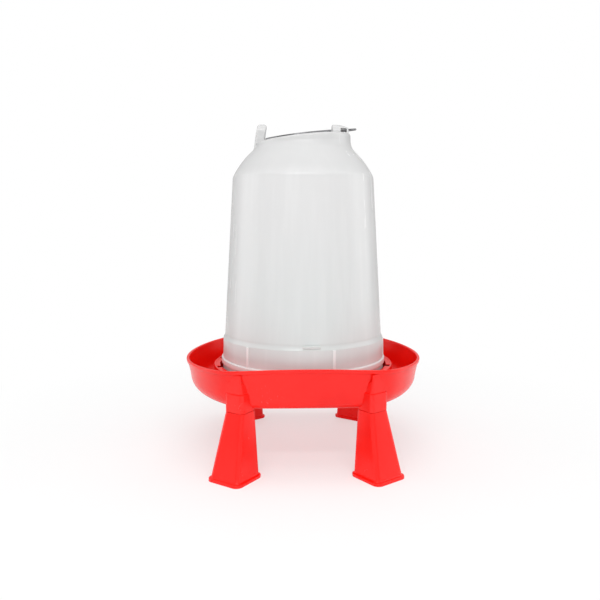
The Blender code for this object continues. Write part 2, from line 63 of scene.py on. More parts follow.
# Small features in millimetres and degrees. Heights on the tank count from its bottom.
HOOK_DROP = 0.4
STOP_LENGTH = 6.0
GUARD_HALF_ANGLE = 11.5
PASSAGE_HALF_WIDTH = 10
PASSAGE_HEIGHT = 10
CEILING = 3.0  # plastic above a leg's spigot
RIB_COUNT = 6
RIB_AZIMUTH = -11.6
RIB_HEIGHT = 25.5  # above the bead
BAR_AZIMUTH = -86.5
BAR_RISE = 69.0
BAR_HEIGHT = 3.5
BAR_LENGTH = 21.0
BAR_OUT = 2.6
LUG_AZIMUTHS = (60, 120, 240, 300)
LUG_HALF_ANGLE = 9
LUG_OUT = 6.0
LUG_HEIGHT = 4.5
OUTLET_RISE = 17.0
OUTLET_RADIUS = 4.0
EAR_HALF_DEPTH = 11.0
AXIS_RISE = 4.2  # the wire's axis above the middle of the tank's top
PIN_HOLE = 3.4
WINDOW_X = 52.0  # middle of the window in the right ear
WINDOW_HALF = (4.0, 22.0, 2.8)
ARCH_END = 29.0  # where the grip's arch meets the arms, from the axis
RIGHT_PIN_END = 44.5
LEFT_PIN_END = -57.5
LEFT_ARM = -42.4
LEG_GAP = 0.3
FLANGE_FILLET = 2.4
LEG_NAMES = ("leg_front_left", "leg_front_right", "leg_back_left", "leg_back_right")


def node_low(name):
    """Lowest height of a CAD node in millimetres."""
    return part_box(name)[0][2] / MM


def node_high(name):
    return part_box(name)[1][2] / MM


def amount(name, description, value):
    """A property for a size in millimetres, or for another number that the description tells."""
    return FloatProperty(name=name, description=description, default=value)


def paint(name, description, value):
    return FloatVectorProperty(
        name=name, description=description, subtype="COLOR", size=3, default=value
    )


class DrinkerPanSettings(bpy.types.PropertyGroup):
    radius: amount("Radius", "Axis to the rim at the lobes", 155.0)
    flat: amount("Flat", "Axis to the rim at the straight front", 124.0)
    wall: amount("Wall", "Thickness of the moulding", 2.5)
    height: amount("Height", "Underside of the floor to the rim", 51.0)
    sag: amount("Sag", "How much lower the rim is at the lobes' ends", 6.5)
    draft: amount("Draft", "Lean of the wall in degrees", 8.7)
    corner: amount("Lobe corner", "Radius between floor and wall", 23.0)
    flat_corner: amount("Flat corner", "The same at the front", 10.0)
    blend: amount("Blend", "Power that rounds the plan", 26.0)
    lip: amount("Lip", "How far the rim's band stands out", 1.2)
    lip_height: amount("Lip height", "Height of the rim's band", 5.0)
    collar_inner: amount("Collar", "Inner radius of the collar", 117.0)
    collar_wall: amount("Collar wall", "Thickness of the collar", 2.8)
    collar_height: amount("Collar height", "Above the floor", 34.0)
    hook_azimuth: amount("Hook azimuth", "Middle of a hook", 30.0)
    hook_half_angle: amount("Hook half angle", "Half its length", 13.0)
    hook_thickness: amount("Hook thickness", "Thickness of a hook", 2.7)
    hook_reach: amount("Hook reach", "Inward from the collar", 5.7)
    divisions: IntProperty(name="Divisions", description="Points around the pan", default=192)
    color: paint("Colour", "Moulded red", (0.95, 0.008, 0.004))


class DrinkerTankSettings(bpy.types.PropertyGroup):
    bottom_radius: amount("Bottom radius", "Of the skirt", 108.5)
    skirt_draft: amount("Skirt draft", "Radius lost by height", 0.0255)
    skirt_height: amount("Skirt height", "Bottom to the step", 67.0)
    step_length: amount("Step", "Height of the step", 6.0)
    wall_radius: amount("Wall radius", "Below the shoulder", 92.0)
    draft: amount("Draft", "Lean of the wall in degrees", 3.55)
    wall_height: amount("Wall height", "Bottom to the crease", 274.0)
    wall: amount("Wall", "Thickness of the moulding", 2.0)
    bead_height: amount("Bead height", "Bottom to the bead", 33.7)
    bead_length: amount("Bead length", "Height of the bead", 7.5)
    bead_out: amount("Bead out", "How far the bead stands out", 2.2)
    neck_radius: amount("Neck radius", "Of the short neck", 61.8)
    neck_rise: amount("Neck rise", "Fillet to the top", 6.2)
    slope: amount("Slope", "Rise of the top towards +X", 0.103)
    crown: amount("Crown", "Bulge of the top", 2.0)
    divisions: IntProperty(name="Divisions", description="Points around the tank", default=160)
    color: paint("Colour", "Milky plastic, upper part", (0.67, 0.67, 0.67))
    low_color: paint("Lower colour", "Milky plastic, lower part", (0.62, 0.648, 0.642))


class DrinkerBailSettings(bpy.types.PropertyGroup):
    tilt: amount("Tilt", "Of the hinge's axis in degrees", 7.0)
    rest: amount("Rest", "Degrees above the level, folded back", 10.5)
    radius: amount("Radius", "Of the grip's arch", 55.0)
    wire: amount("Wire", "Diameter of the wire", 2.6)
    hook_tip: amount("Hook tip", "Where the right arm turns back", 72.0)
    color: paint("Colour", "Drawn steel", (0.30, 0.30, 0.31))


class DrinkerLegSettings(bpy.types.PropertyGroup):
    height: amount("Height", "Ground to the seam", 80.8)
    inset: amount("Inset", "Lobe rim to the socket", 18.5)
    turn: amount("Turn", "Degrees past the flat's end", 1.4)
    splay: amount("Splay", "How much farther out the foot is", 12.0)
    top_size: amount("Top size", "Width at the seam", 27.0)
    foot_size: amount("Foot size", "Width above the flange", 42.5)
    flange_size: amount("Flange size", "Width of the flange", 49.0)
    flange_height: amount("Flange height", "Its thickness", 4.0)
    wall: amount("Wall", "Thickness of the moulding", 2.2)
    corner: amount("Corner", "Radius of the upright corners", 5.0)
    foot_corner: amount("Foot corner", "Radius of the flange", 8.5)
    spigot: amount("Spigot", "Length pushed into the pan", 20.0)
    drop: amount("Drop", "How far sockets end below the floor", 1.2)


class DrinkerStageSettings(bpy.types.PropertyGroup):
    lens: amount("Lens", "Focal length in mm", 38.7)
    distance: amount("Distance", "Camera to the front", 860.4)
    side: amount("Side", "Camera to the left of the axis", 33.0)
    height: amount("Height", "Camera above the ground", 310.0)
    pitch: amount("Pitch", "Degrees downward", 7.33)
    heading: amount("Heading", "Degrees to the right", 1.93)
    key: amount("Key", "Power of the key light in watts", 5.5)
    fill: amount("Fill", "Power of the side lights in watts", 5.0)
    sky: amount("Sky", "Strength of the world", 0.5)


def clamp(value, low=0.0, high=1.0):
    return min(max(value, low), high)


def polar(radius, azimuth, height):
    """A point at a radius and an azimuth in degrees."""
    return Vector((radius * cos(radians(azimuth)), radius * sin(radians(azimuth)), height))


def object_from(name, shape):
    bmesh.ops.recalc_face_normals(shape, faces=shape.faces)
    mesh = bpy.data.meshes.new(name)
    shape.to_mesh(mesh)
    shape.free()
    made = bpy.data.objects.new(name, mesh)
    bpy.context.scene.collection.objects.link(made)
    return made


def loft(name, rings, endless=False):
    """One closed body through rings of equally many points, capped or joined end to end."""
    shape = bmesh.new()
    loops = [[shape.verts.new(Vector(point) * MM) for point in ring] for ring in rings]
    following = loops[1:] + loops[:1] if endless else loops[1:]
    for lower, upper in zip(loops, following):
        for here in range(len(lower)):
            after = (here + 1) % len(lower)
            shape.faces.new((lower[here], lower[after], upper[after], upper[here]))
    if not endless:
        shape.faces.new(loops[0])
        shape.faces.new(loops[-1])
    return object_from(name, shape)


def soften(made, width, segments=2, limit=35):
    """Rounds the edges of a form that are sharper than a limit."""
    shape = bmesh.new()
    shape.from_mesh(made.data)
    sharp = [edge for edge in shape.edges if edge.calc_face_angle(0) > radians(limit)]
    bmesh.ops.bevel(
        shape, geom=sharp, offset=width * MM, segments=segments, profile=0.5, affect="EDGES",
        clamp_overlap=True,
    )
    shape.to_mesh(made.data)
    shape.free()
    return made


def shape_with(body, joins=(), cuts=()):
    """Joins and cuts forms with exact Booleans and keeps the result as the body's own mesh."""
    for tools, operation in ((joins, "UNION"), (cuts, "DIFFERENCE")):
        for tool in tools:
            modifier = body.modifiers.new(tool.name, "BOOLEAN")
            modifier.operation = operation
            modifier.solver = "EXACT"
            modifier.object = tool
    bpy.context.view_layer.update()
    solved = body.evaluated_get(bpy.context.evaluated_depsgraph_get())
    mesh = bpy.data.meshes.new_from_object(solved)
    if len(mesh.polygons) < len(body.data.polygons):
        raise RuntimeError(body.name + " lost faces in a Boolean")
    body.modifiers.clear()
    body.data = mesh
    for tool in (*joins, *cuts):
        bpy.data.objects.remove(tool, do_unlink=True)


def finish_piece(made, surface, node, body, sharp=34):
    """Smooth shading with hard corners, a material, and the piece's place in the frame."""
    mesh = made.data
    mesh.materials.clear()
    mesh.materials.append(surface)
    mesh.shade_smooth()
    mesh.set_sharp_from_angle(angle=radians(sharp))
    normals = made.modifiers.new("even_normals", "WEIGHTED_NORMAL")
    normals.keep_sharp = True
    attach(made, body)
    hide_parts(node)


def sector(name, inner, outer, low, high, azimuth, half_angle, divisions=16):
    """A solid slice of a ring."""
    rings = []
    for step in range(divisions + 1):
        angle = azimuth + half_angle * (2 * step / divisions - 1)
        corners = ((inner, low), (outer, low), (outer, high), (inner, high))
        rings.append([polar(radius, angle, height) for radius, height in corners])
    return loft(name, rings)


def rounded_square(azimuth, middle, half_radial, half_across, height, radius, steps=8):
    """A square with round corners whose sides face along and across the radius."""
    turn = Matrix.Rotation(radians(azimuth), 3, "Z")
    points = []
    for quarter, (side_a, side_b) in enumerate(((1, 1), (-1, 1), (-1, -1), (1, -1))):
        for step in range(steps + 1):
            angle = pi / 2 * (quarter + step / steps)
            along = side_a * (half_radial - radius) + radius * cos(angle)
            across = side_b * (half_across - radius) + radius * sin(angle)
            points.append(turn @ Vector((middle + along, across, height)))
    return points


def block(name, low, high):
    """A box between two opposite corners."""
    rings = []
    for z in (low[2], high[2]):
        near = [(low[0], low[1], z), (high[0], low[1], z)]
        far = [(high[0], high[1], z), (low[0], high[1], z)]
        rings.append(near + far)
    return loft(name, rings)


class Layout:
    """Places that follow from the settings and from where the CAD nodes stand."""

    def __init__(self, scene):
        pan = scene.drinker_pan
        legs = scene.drinker_legs
        tank = scene.drinker_tank
        bail = scene.drinker_bail
        self.rim_z = node_high("base_pan")
        self.floor_z = self.rim_z - pan.height
        self.seat_z = self.floor_z + pan.wall
        self.collar_z = self.floor_z + pan.collar_height
        self.socket_z = node_low("base_pan")
        self.tank_z = node_low("tank")
        self.leg_radius = pan.radius - legs.inset
        self.leg_azimuth = degrees(asin(pan.flat / pan.radius)) + legs.turn
        self.start = 28.0
        self.end = 47.0
        self.crease = 11.0
        self.fillet = 18.0
        self.neck_draft = 8.0
        turned = self.crease * (cos(radians(tank.draft)) - cos(radians(self.start)))
        necked = self.fillet * (cos(radians(self.neck_draft)) - cos(radians(self.end)))
        spread = cos(radians(self.start)) - cos(radians(self.end))
        self.shoulder = (tank.wall_radius - tank.neck_radius - turned - necked) / spread
        rise = self.crease * (sin(radians(self.start)) - sin(radians(tank.draft)))
        rise += self.shoulder * (sin(radians(self.end)) - sin(radians(self.start)))
        rise += self.fillet * (sin(radians(self.end)) - sin(radians(self.neck_draft)))
        self.top_z = self.tank_z + tank.wall_height + rise + tank.neck_rise
        self.axis_z = self.top_z + AXIS_RISE
        self.tilt = radians(bail.tilt)
        self.hinge = Matrix.Translation((0, 0, self.axis_z)) @ Matrix.Rotation(-self.tilt, 4, "Y")


class Value:
    """A socket that takes part in Python expressions, each of which adds its Math node."""

    def __init__(self, finish, socket):
        self.finish = finish
        self.socket = socket

    def __add__(self, other):
        return self.finish.calculate("ADD", self, other)

    def __radd__(self, other):
        return self.finish.calculate("ADD", other, self)

    def __sub__(self, other):
        return self.finish.calculate("SUBTRACT", self, other)

    def __rsub__(self, other):
        return self.finish.calculate("SUBTRACT", other, self)

    def __mul__(self, other):
        return self.finish.calculate("MULTIPLY", self, other)

    def __truediv__(self, other):
        return self.finish.calculate("DIVIDE", self, other)

    def __pow__(self, other):
        return self.finish.calculate("POWER", self, other)

    def band(self, low, high):
        """0 below low, 1 above high and smooth between."""
        settings = {"interpolation_type": "SMOOTHSTEP"}
        inputs = {"Value": self, "From Min": low, "From Max": high}
        return self.finish.node("ShaderNodeMapRange", settings, inputs)


class Finish:
    """One material, built up by expressions."""

    def __init__(self, name):
        self.surface = bpy.data.materials.new(name)
        self.surface.use_nodes = True
        self.tree = self.surface.node_tree
        self.shader = self.tree.nodes["Principled BSDF"]

    def node(self, kind, settings=None, inputs=None, output=0):
        """Adds a node: its settings first, then the values or links of its sockets."""
        made = self.tree.nodes.new(kind)
        for key, value in (settings or {}).items():
            setattr(made, key, value)
        for key, value in (inputs or {}).items():
            if isinstance(value, Value):
                self.tree.links.new(value.socket, made.inputs[key])
            else:
                made.inputs[key].default_value = value
        return Value(self, made.outputs[output])

    def place(self):
        """Position on the object in metres."""
        return self.node("ShaderNodeTexCoord", output="Object")

    def axes(self):
        """The three parts of the position."""
        place = self.place()
        parts = self.node("ShaderNodeSeparateXYZ", None, {"Vector": place})
        return [Value(self, parts.socket.node.outputs[index]) for index in range(3)]

    def stretched(self, scale, spin=(0, 0, 0)):
        inputs = {"Vector": self.place(), "Scale": scale, "Rotation": spin}
        return self.node("ShaderNodeMapping", {"vector_type": "POINT"}, inputs)

    def noise(self, scale, detail=2.0, rough=0.5, where=None, distortion=0.0):
        inputs = {
            "Vector": where or self.place(), "Scale": scale, "Detail": detail, "Roughness": rough,
            "Distortion": distortion,
        }
        return self.node("ShaderNodeTexNoise", {"noise_dimensions": "3D"}, inputs)

    def mix(self, share, first, second):
        """A colour between two colours."""
        settings = {"data_type": "RGBA", "blend_type": "MIX"}
        made = self.node("ShaderNodeMix", settings)
        for index, value in ((0, share), (6, first), (7, second)):
            socket = made.socket.node.inputs[index]
            if isinstance(value, Value):
                self.tree.links.new(value.socket, socket)
            elif index == 0:
                socket.default_value = value
            else:
                socket.default_value = (*value, 1)
        return Value(self, made.socket.node.outputs[2])

    def scratches(self, scale, spin, width, share):
        """Thin lines that wander, present over a share of the surface."""
        lines = self.noise(1.0, 1.0, 0.4, self.stretched(scale, spin), 0.3)
        near = self.calculate("ABSOLUTE", lines - 0.5)
        return (1 - near.band(0.0, width)) * self.noise(9.0, 2.0).band(1 - share, 1.12 - share)

    def calculate(self, operation, first, second=None):
        """A Math node for what has no operator in Python."""
        inputs = {0: first} if second is None else {0: first, 1: second}
        return self.node("ShaderNodeMath", {"operation": operation}, inputs)

    def bump(self, height, strength, distance):
        inputs = {"Height": height, "Strength": strength, "Distance": distance}
        return self.node("ShaderNodeBump", None, inputs)

    def finish(self, links, constants=None):
        """Feeds what varies to the shader and sets what doesn't."""
        for key, value in links.items():
            self.tree.links.new(value.socket, self.shader.inputs[key])
        for key, value in (constants or {}).items():
            self.shader.inputs[key].default_value = value
        return self.surface


def red_plastic(name, color, seed):
    """Glossy moulded red: faint clouds of shade, orange peel, handling marks and a little dust."""
    made = Finish(name)
    shift = (seed * 0.37, seed * 0.61, seed * 0.19)
    shifted = made.node("ShaderNodeVectorMath", {"operation": "ADD"}, {0: made.place(), 1: shift})
    clouds = made.noise(11.0, 3.0, 0.55, shifted)
    specks = made.noise(320.0, 2.0, 0.6, shifted)
    lines = made.scratches((14, 160, 26), (0.2, 0.5, 0.9), 0.012, 0.34)
    cross = made.scratches((120, 18, 30), (0.8, 0.1, 0.4), 0.010, 0.30)
    marks = lines + cross * 0.7
    deep = (color[0] * 0.90, color[1] * 0.8, color[2] * 0.8)
    pale = (min(color[0] * 1.04, 0.98), color[1] * 1.25, color[2] * 1.3)
    body = made.mix(clouds.band(0.3, 0.7), deep, pale)
    body = made.mix(marks * 0.10, body, (color[0], color[1] + 0.08, color[2] + 0.07))
    dust = specks.band(0.60, 0.74) * clouds.band(0.45, 0.7)
    body = made.mix(dust * 0.03, body, (0.75, 0.60, 0.56))
    rough = 0.19 + clouds * 0.07 + specks * 0.03 + marks * 0.16 + dust * 0.05
    peel = made.noise(420.0, 1.0, 0.5, shifted)
    flow = made.noise(38.0, 2.0, 0.5, shifted, 0.4)
    height = peel * 0.035 + flow * 0.30 - marks * 0.04
    links = {"Base Color": body, "Roughness": rough, "Normal": made.bump(height, 0.35, 0.0006)}
    constants = {
        "IOR": 1.49, "Specular IOR Level": 0.42, "Subsurface Weight": 0.04, "Subsurface Scale": 0.002,
    }
    return made.finish(links, constants)


def milky_plastic(name, tank, layout):
    """Blown milky plastic: paler towards the top, upright streaks, a parting line and soft ripples,
    with painted shade on the shoulder and the step, a painted red reflection below the bead and painted
    highlights on the ribs.
    """
    made = Finish(name)
    x, y, z = made.axes()
    high = (layout.tank_z + 260) * MM
    step = (layout.tank_z + tank.skirt_height) * MM
    bead = (layout.tank_z + tank.bead_height + tank.bead_length) * MM
    rise = z.band((layout.tank_z + 30) * MM, high)
    clouds = made.noise(7.0, 3.0, 0.5)
    streaks = made.noise(1.0, 3.0, 0.55, made.stretched((95, 95, 3.5)))
    rings = made.noise(1.0, 2.0, 0.5, made.stretched((4, 4, 150)))
    marks = made.scratches((150, 24, 14), (0.3, 0.9, 0.2), 0.010, 0.36)
    seam = 1 - made.calculate("ABSOLUTE", y).band(0.0002, 0.0011)
    body = made.mix(rise, tank.low_color, tank.color)
    dull = [part * 0.955 for part in tank.color]
    body = made.mix(clouds.band(0.35, 0.75) * 0.35, body, (dull[0], dull[1], dull[2] * 0.995))
    body = made.mix(streaks.band(0.40, 0.80) * 0.10, body, (0.90, 0.90, 0.895))
    body = made.mix(seam * 0.22, body, (0.62, 0.62, 0.61))
    # Painted shade: the shoulder is darkened to offset the light it catches from above.
    shoulder = z.band(high + 0.008, high + 0.030)
    body = made.mix(shoulder * 0.62, body, (0.56, 0.56, 0.56))
    # Painted shade: a darker band on the step's upward face keeps it from shining in the light from
    # above.
    painted_step_shade = z.band(step - 0.0015, step + 0.0005) * (1 - z.band(step + 0.0055, step + 0.0085))
    body = made.mix(painted_step_shade * 0.42, body, (0.55, 0.57, 0.56))
    # Painted reflection: a pink tint below the bead stands in for red light thrown up from the pan.
    body = made.mix((1 - z.band(bead - 0.001, bead + 0.010)) * 0.40, body, (0.84, 0.80, 0.795))
    # Painted highlight: the ribs above the bead are lightened to stand in for the light that shines
    # through them.
    turn = made.calculate("ARCTAN2", y, x) - radians(RIB_AZIMUTH)
    share = made.calculate("FRACT", turn / (2 * pi / RIB_COUNT) + 0.5)
    across = made.calculate("ABSOLUTE", share - 0.5)
    rib_top = bead + RIB_HEIGHT * MM
    along = z.band(bead - 0.001, bead) * (1 - z.band(rib_top - 0.001, rib_top + 0.0005))
    ribs = (1 - across.band(0.014, 0.022)) * along
    body = made.mix(ribs * 0.55, body, (0.90, 0.90, 0.90))
    body = made.mix(marks * 0.06, body, (0.93, 0.93, 0.93))
    rough = 0.22 + clouds * 0.06 + streaks * 0.03 + marks * 0.025
    ripple = made.noise(15.0, 1.0, 0.5) * 0.30 + streaks * 0.012 + rings * 0.03
    fine = made.noise(520.0, 1.0, 0.5) * 0.03
    height = ripple + fine + seam * 0.35 - marks * 0.002
    links = {"Base Color": body, "Roughness": rough, "Normal": made.bump(height, 0.30, 0.0008)}
    constants = {
        "IOR": 1.51, "Subsurface Weight": 0.22, "Subsurface Scale": 0.006,
        "Subsurface Radius": (1.0, 0.95, 0.9),
    }
    return made.finish(links, constants)


def drawn_steel(name, color):
    """Drawn wire: fine lines, darker patches and specks of wear."""
    made = Finish(name)
    lines = made.noise(1.0, 3.0, 0.6, made.stretched((40, 900, 900)))
    patches = made.noise(60.0, 3.0, 0.6)
    pits = made.noise(900.0, 1.0, 0.5)
    dark = [part * 0.62 for part in color]
    bright = [part * 1.35 for part in color]
    body = made.mix(patches.band(0.35, 0.65), dark, bright)
    body = made.mix(pits.band(0.62, 0.70) * 0.5, body, (0.16, 0.12, 0.10))
    rough = 0.28 + patches * 0.14 + pits.band(0.6, 0.7) * 0.2
    height = lines * 0.4 + pits * 0.2
    links = {"Base Color": body, "Roughness": rough, "Normal": made.bump(height, 0.35, 0.0001)}
    return made.finish(links, {"Metallic": 1.0})


def wall_distance(pan, layout, rim, corner, depth, height):
    """How far out a wall of the pan stands at a height, moved inward by a depth."""
    lean = radians(pan.draft)
    middle_z = layout.floor_z + corner
    rise = layout.rim_z - (middle_z - corner * sin(lean))
    middle = rim - rise * tan(lean) - corner * cos(lean)
    reach = corner - depth
    leave_z = middle_z - reach * sin(lean)
    if height >= leave_z:
        return middle + reach * cos(lean) + (height - leave_z) * tan(lean)
    drop = min(middle_z - height, reach)
    return middle + sqrt(reach**2 - drop**2)


def pan_radius(pan, layout, azimuth, depth, height, out=0.0):
    """Plan of the pan: round lobes with a straight front and back, blended where they meet."""
    lobe = wall_distance(pan, layout, pan.radius, pan.corner, depth, height) + out
    flat = wall_distance(pan, layout, pan.flat, pan.flat_corner, depth, height) + out
    chord = flat / max(abs(sin(radians(azimuth))), 0.01)
    return (lobe**-pan.blend + chord**-pan.blend) ** (-1 / pan.blend)


def pan_ring(pan, layout, depth, height, out=0.0):
    """A level of the pan's wall, its upper part sagging towards the far left and right."""
    sag_start = layout.rim_z - pan.height * 0.45
    sag_share = clamp((height - sag_start) / (layout.rim_z - pan.lip_height - sag_start))
    ring = []
    for step in range(pan.divisions):
        azimuth = 360 * step / pan.divisions
        place = polar(pan_radius(pan, layout, azimuth, depth, height, out), azimuth, height)
        place.z -= sag_share * pan.sag * (place.x / pan.radius) ** 2
        ring.append(place)
    return ring


def corner_heights(pan, layout, depth, steps):
    """Heights at equal turns around the lobes' lower corner."""
    reach = pan.corner - depth
    last = 90 - pan.draft
    turns = [radians(last * step / steps) for step in range(steps + 1)]
    return [layout.floor_z + pan.corner - reach * cos(turn) for turn in turns]


def make_bowl(pan, layout):
    lip_z = layout.rim_z - pan.lip_height
    rim_z = layout.rim_z
    wall_start = corner_heights(pan, layout, 0, 14)
    rings = [pan_ring(pan, layout, 0, height) for height in wall_start]
    straight = 6
    for step in range(1, straight):
        height = wall_start[-1] + (lip_z - wall_start[-1]) * step / straight
        rings.append(pan_ring(pan, layout, 0, height))
    outside = (
        (lip_z - 0.5, 0), (lip_z, 0.15), (lip_z + 0.3, pan.lip * 0.75), (lip_z + 0.8, pan.lip),
        (rim_z - 1.3, pan.lip), (rim_z - 0.7, pan.lip - 0.12), (rim_z - 0.25, pan.lip - 0.45),
        (rim_z, pan.lip - 1.0),
    )
    rings += [pan_ring(pan, layout, 0, height, out) for height, out in outside]
    inside = ((rim_z, 1.0), (rim_z - 0.25, 0.45), (rim_z - 0.7, 0.12), (rim_z - 1.3, 0))
    rings += [pan_ring(pan, layout, pan.wall, height, out) for height, out in inside]
    inner_start = corner_heights(pan, layout, pan.wall, 14)
    for step in range(1, straight):
        height = rim_z - 1.3 + (inner_start[-1] - rim_z + 1.3) * step / straight
        rings.append(pan_ring(pan, layout, pan.wall, height))
    rings += [pan_ring(pan, layout, pan.wall, height) for height in reversed(inner_start)]
    return loft("red_pan", rings)


def make_collar(pan, layout):
    """The ring that the tank stands in. Its foot climbs where it runs into the pan's front and back."""
    inner = pan.collar_inner
    outer = inner + pan.collar_wall
    top = layout.collar_z
    sections = []
    for step in range(pan.divisions):
        azimuth = 360 * (step + 0.5) / pan.divisions
        foot = layout.floor_z + OVERLAP
        while foot < top - 2 and pan_radius(pan, layout, azimuth, pan.wall * 0.6, foot) < outer:
            foot += 0.25
        corners = [(inner, foot), (outer, foot)]
        corners += [(outer - back, top - drop) for back, drop in ((0, 0.9), (0.35, 0.25), (0.9, 0))]
        corners += [(inner + back, top - drop) for back, drop in ((0.9, 0), (0.35, 0.25), (0, 0.9))]
        sections.append([polar(radius, azimuth, height) for radius, height in corners])
    return loft("collar", sections, endless=True)


def make_hooks(pan, layout):
    """Four plates that the tank's lugs turn under, each with a stop at its far end."""
    high = layout.collar_z - HOOK_DROP
    low = high - pan.hook_thickness
    tip = pan.collar_inner - pan.hook_reach
    root = pan.collar_inner + 1
    hooks = []
    turn = pan.hook_azimuth
    for azimuth in (turn, 180 - turn, 180 + turn, 360 - turn):
        plate = sector("hook", tip, root, low, high, azimuth, pan.hook_half_angle, 24)
        hooks.append(soften(plate, 0.45))
        stop_azimuth = azimuth - pan.hook_half_angle + 2
        hooks.append(sector("stop", tip + 1, root, low - STOP_LENGTH, low + 1, stop_azimuth, 1.0, 2))
    for azimuth in (0, 180):
        guard = sector("guard", tip + 0.4, root, high - 1.6, high - 0.2, azimuth, GUARD_HALF_ANGLE, 20)
        hooks.append(soften(guard, 0.4))
    return hooks


def make_column(layout, legs, pan, azimuth):
    """The outside of a leg socket, which narrows upward and fades into the wall below the rim."""
    half = legs.top_size / 2
    full = legs.spigot + CEILING
    levels = ((0, 0.5), (0.18, 0.14), (0.5, 0), (full - 1.6, 0), (full - 0.5, 0.45), (full, 1.5))
    rings = []
    for rise, back in levels:
        side = half - back
        height = layout.socket_z + rise
        rings.append(rounded_square(azimuth, layout.leg_radius, side, side, height, legs.corner - back))
    for drop, out in ((14, 1.5), (7, -0.3)):
        height = layout.rim_z - drop
        inside = pan_radius(pan, layout, layout.leg_azimuth, pan.wall / 2, height)
        slim = pan.wall / 4 + out / 2
        rings.append(rounded_square(azimuth, inside + slim, slim, half - 3, height, slim * 0.8))
    return loft("column", rings)


def make_socket(layout, legs, azimuth):
    half = legs.top_size / 2 - legs.wall
    corner = legs.corner - legs.wall
    rings = []
    for height in (layout.socket_z - 1, layout.socket_z + legs.spigot + 1):
        rings.append(rounded_square(azimuth, layout.leg_radius, half, half, height, corner))
    return loft("socket", rings)


def make_passages(pan, layout):
    """Openings at the foot of the collar, through which water reaches both lobes."""
    near = pan.collar_inner - pan.collar_wall
    far = pan.collar_inner + 2 * pan.collar_wall
    low_z = layout.seat_z + 0.5
    passages = []
    for side in (1, -1):
        low = (min(side * near, side * far), -PASSAGE_HALF_WIDTH, low_z)
        high = (max(side * near, side * far), PASSAGE_HALF_WIDTH, low_z + PASSAGE_HEIGHT)
        passages.append(soften(block("passage", low, high), 1.5, 4))
    return passages


def leg_azimuths(layout):
    angle = layout.leg_azimuth
    return dict(zip(LEG_NAMES, (180 + angle, -angle, 180 - angle, angle)))


class DRINKER_OT_pan(bpy.types.Operator):
    """Builds the red pan with its collar, hooks and leg sockets."""

    bl_idname = "drinker.pan"
    bl_label = "Pan"
    bl_options = {"REGISTER", "UNDO"}

    def execute(self, context):
        pan = context.scene.drinker_pan
        legs = context.scene.drinker_legs
        layout = Layout(context.scene)
        azimuths = leg_azimuths(layout).values()
        joins = [make_collar(pan, layout), *make_hooks(pan, layout)]
        joins += [make_column(layout, legs, pan, azimuth) for azimuth in azimuths]
        cuts = [make_socket(layout, legs, azimuth) for azimuth in azimuths]
        cuts += make_passages(pan, layout)
        made = make_bowl(pan, layout)
        shape_with(made, joins, cuts)
        surface = red_plastic("moulded_red_pan", pan.color, 1.0)
        finish_piece(made, surface, "base_pan", "base")
        return {"FINISHED"}


